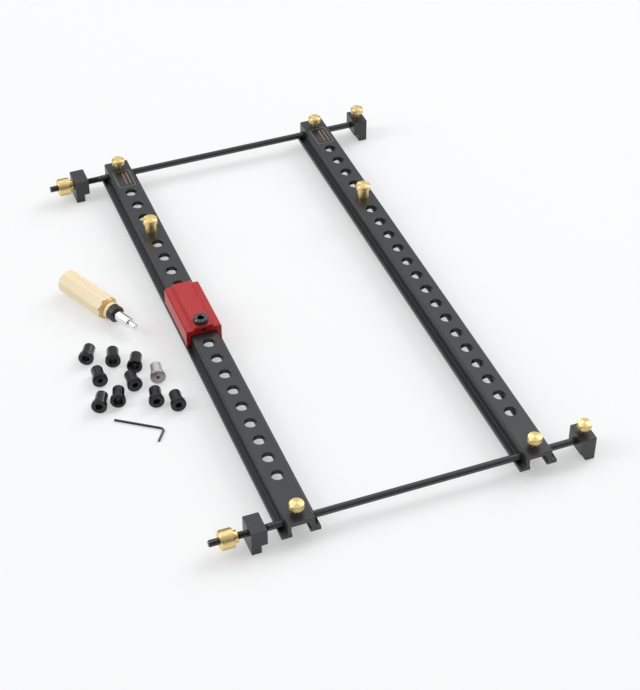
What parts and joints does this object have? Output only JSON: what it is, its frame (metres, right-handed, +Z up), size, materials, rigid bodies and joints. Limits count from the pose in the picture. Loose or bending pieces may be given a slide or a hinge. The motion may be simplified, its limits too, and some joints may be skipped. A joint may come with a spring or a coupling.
{
  "type": "shelf pin drilling jig",
  "caption": "Adjustable shelf pin drilling jig: indexed rails on cross rods with edge fences, a drill carriage, index pins, loose drill bushings, a setting tool and a hex key.",
  "frame": {"origin": "on the axis of the left rail's front index hole, level with the rail's top face", "axes": "+X along the cross rods to the right, +Y along the rails to the back, +Z up out of the rails"},
  "size_m": [0.438, 0.61, 0.0433],
  "materials": {
    "black_anodised": "satin black anodised",
    "black_oxide": "black oxide",
    "brass": "turned and knurled",
    "red_anodised": "satin red anodised",
    "bright_steel": "polished",
    "pale_wood": "smooth clear coat"
  },
  "bodies": {
    "rods": {"front_rod": "black_oxide", "back_rod": "black_oxide"},
    "left_rail": {"left_rail": "black_anodised"},
    "right_rail": {"right_rail": "black_anodised"},
    "front_left_fence": {"front_left_fence": "black_anodised"},
    "front_clamp_nut": {"front_clamp_nut": "brass"},
    "back_left_fence": {"back_left_fence": "black_anodised"},
    "back_clamp_nut": {"back_clamp_nut": "brass"},
    "front_right_fence": {"front_right_fence": "black_anodised"},
    "back_right_fence": {"back_right_fence": "black_anodised"},
    "front_left_rail_screw": {"front_left_rail_screw": "brass"},
    "back_left_rail_screw": {"back_left_rail_screw": "brass"},
    "front_right_rail_screw": {"front_right_rail_screw": "brass"},
    "back_right_rail_screw": {"back_right_rail_screw": "brass"},
    "front_right_fence_screw": {"front_right_fence_screw": "brass"},
    "back_right_fence_screw": {"back_right_fence_screw": "brass"},
    "left_index_pin": {"left_index_pin": "brass"},
    "right_index_pin": {"right_index_pin": "brass"},
    "drill_carriage": {"drill_carriage": "red_anodised"},
    "fitted_bushing": {"fitted_bushing": "black_oxide"},
    "carriage_set_screw": {"carriage_set_screw": "black_oxide"},
    "loose_bushing_1": {"loose_bushing_1": "black_oxide"},
    "loose_bushing_2": {"loose_bushing_2": "black_oxide"},
    "loose_bushing_3": {"loose_bushing_3": "black_oxide"},
    "loose_bushing_4": {"loose_bushing_4": "black_oxide"},
    "loose_bushing_5": {"loose_bushing_5": "black_oxide"},
    "loose_bushing_6": {"loose_bushing_6": "black_oxide"},
    "loose_bushing_7": {"loose_bushing_7": "black_oxide"},
    "loose_bushing_8": {"loose_bushing_8": "black_oxide"},
    "loose_bushing_9": {"loose_bushing_9": "black_oxide"},
    "punch_guide": {"punch_guide": "bright_steel"},
    "setting_tool": {"tool_handle": "pale_wood", "tool_collar": "black_oxide", "tool_shank": "bright_steel"},
    "hex_key": {"hex_key": "black_oxide"}
  },
  "joints": [
    {"name": "left_rail_slide", "type": "slide", "parent": "rods", "child": "left_rail", "axis": [1, 0, 0], "range_m": [-0.004, 0.095]},
    {"name": "right_rail_slide", "type": "slide", "parent": "rods", "child": "right_rail", "axis": [1, 0, 0], "range_m": [-0.095, 0.011]},
    {"name": "front_left_fence_slide", "type": "slide", "parent": "rods", "child": "front_left_fence", "axis": [1, 0, 0], "range_m": [-0.00953, 0.00762]},
    {"name": "front_clamp_nut_turn", "type": "hinge", "parent": "front_left_fence", "child": "front_clamp_nut", "pos_m": [-0.0607, -0.051, -0.0098], "axis": [1, 0, 0], "range_deg": [-2701, 2161]},
    {"name": "back_left_fence_slide", "type": "slide", "parent": "rods", "child": "back_left_fence", "axis": [1, 0, 0], "range_m": [-0.00889, 0.01397]},
    {"name": "back_clamp_nut_turn", "type": "hinge", "parent": "back_left_fence", "child": "back_clamp_nut", "pos_m": [-0.067, 0.5336, -0.0098], "axis": [1, 0, 0], "range_deg": [-2521, 3961]},
    {"name": "front_right_fence_slide", "type": "slide", "parent": "rods", "child": "front_right_fence", "axis": [1, 0, 0], "range_m": [-0.014, 0.002]},
    {"name": "back_right_fence_slide", "type": "slide", "parent": "rods", "child": "back_right_fence", "axis": [1, 0, 0], "range_m": [-0.014, 0.002]},
    {"name": "front_left_rail_screw_turn", "type": "hinge", "parent": "left_rail", "child": "front_left_rail_screw", "pos_m": [0, -0.051, 0], "axis": [0, 0, 1], "range_deg": [0, 720]},
    {"name": "back_left_rail_screw_turn", "type": "hinge", "parent": "left_rail", "child": "back_left_rail_screw", "pos_m": [0, 0.5336, 0], "axis": [0, 0, 1], "range_deg": [0, 720]},
    {"name": "front_right_rail_screw_turn", "type": "hinge", "parent": "right_rail", "child": "front_right_rail_screw", "pos_m": [0.242, -0.051, 0], "axis": [0, 0, 1], "range_deg": [0, 720]},
    {"name": "back_right_rail_screw_turn", "type": "hinge", "parent": "right_rail", "child": "back_right_rail_screw", "pos_m": [0.242, 0.5336, 0], "axis": [0, 0, 1], "range_deg": [0, 720]},
    {"name": "front_right_fence_screw_turn", "type": "hinge", "parent": "front_right_fence", "child": "front_right_fence_screw", "pos_m": [0.295, -0.051, 0], "axis": [0, 0, 1], "range_deg": [0, 720]},
    {"name": "back_right_fence_screw_turn", "type": "hinge", "parent": "back_right_fence", "child": "back_right_fence_screw", "pos_m": [0.2962, 0.5336, 0], "axis": [0, 0, 1], "range_deg": [0, 720]},
    {"name": "left_index_pin_lift", "type": "slide", "parent": "left_rail", "child": "left_index_pin", "axis": [0, 0, 1], "range_m": [0, 0.035]},
    {"name": "right_index_pin_lift", "type": "slide", "parent": "right_rail", "child": "right_index_pin", "axis": [0, 0, 1], "range_m": [0, 0.035]},
    {"name": "carriage_lift", "type": "slide", "parent": "left_rail", "child": "drill_carriage", "axis": [0, 0, 1], "range_m": [0, 0.05]},
    {"name": "fitted_bushing_lift", "type": "slide", "parent": "drill_carriage", "child": "fitted_bushing", "axis": [0, 0, 1], "range_m": [0, 0.03]},
    {"name": "carriage_set_screw_turn", "type": "hinge", "parent": "drill_carriage", "child": "carriage_set_screw", "pos_m": [0, 0.2191, 0.00475], "axis": [0, -1, 0], "range_deg": [0, 720]},
    {"name": "loose_bushing_1_lift", "type": "slide", "parent": "rods", "child": "loose_bushing_1", "axis": [0, 0, 1], "range_m": [0, 0.06]},
    {"name": "loose_bushing_2_lift", "type": "slide", "parent": "rods", "child": "loose_bushing_2", "axis": [0, 0, 1], "range_m": [0, 0.06]},
    {"name": "loose_bushing_3_lift", "type": "slide", "parent": "rods", "child": "loose_bushing_3", "axis": [0, 0, 1], "range_m": [0, 0.06]},
    {"name": "loose_bushing_4_lift", "type": "slide", "parent": "rods", "child": "loose_bushing_4", "axis": [0, 0, 1], "range_m": [0, 0.06]},
    {"name": "loose_bushing_5_lift", "type": "slide", "parent": "rods", "child": "loose_bushing_5", "axis": [0, 0, 1], "range_m": [0, 0.06]},
    {"name": "loose_bushing_6_lift", "type": "slide", "parent": "rods", "child": "loose_bushing_6", "axis": [0, 0, 1], "range_m": [0, 0.06]},
    {"name": "loose_bushing_7_lift", "type": "slide", "parent": "rods", "child": "loose_bushing_7", "axis": [0, 0, 1], "range_m": [0, 0.06]},
    {"name": "loose_bushing_8_lift", "type": "slide", "parent": "rods", "child": "loose_bushing_8", "axis": [0, 0, 1], "range_m": [0, 0.06]},
    {"name": "loose_bushing_9_lift", "type": "slide", "parent": "rods", "child": "loose_bushing_9", "axis": [0, 0, 1], "range_m": [0, 0.06]},
    {"name": "punch_guide_lift", "type": "slide", "parent": "rods", "child": "punch_guide", "axis": [0, 0, 1], "range_m": [0, 0.06]},
    {"name": "setting_tool_lift", "type": "slide", "parent": "rods", "child": "setting_tool", "axis": [0, 0, 1], "range_m": [0, 0.06]},
    {"name": "hex_key_lift", "type": "slide", "parent": "rods", "child": "hex_key", "axis": [0, 0, 1], "range_m": [0, 0.06]}
  ],
  "couplings": [
    {"joint": "front_clamp_nut_turn", "follows": "front_left_fence_slide", "rad_per_m": 4947.4},
    {"joint": "back_clamp_nut_turn", "follows": "back_left_fence_slide", "rad_per_m": 4947.4}
  ]
}
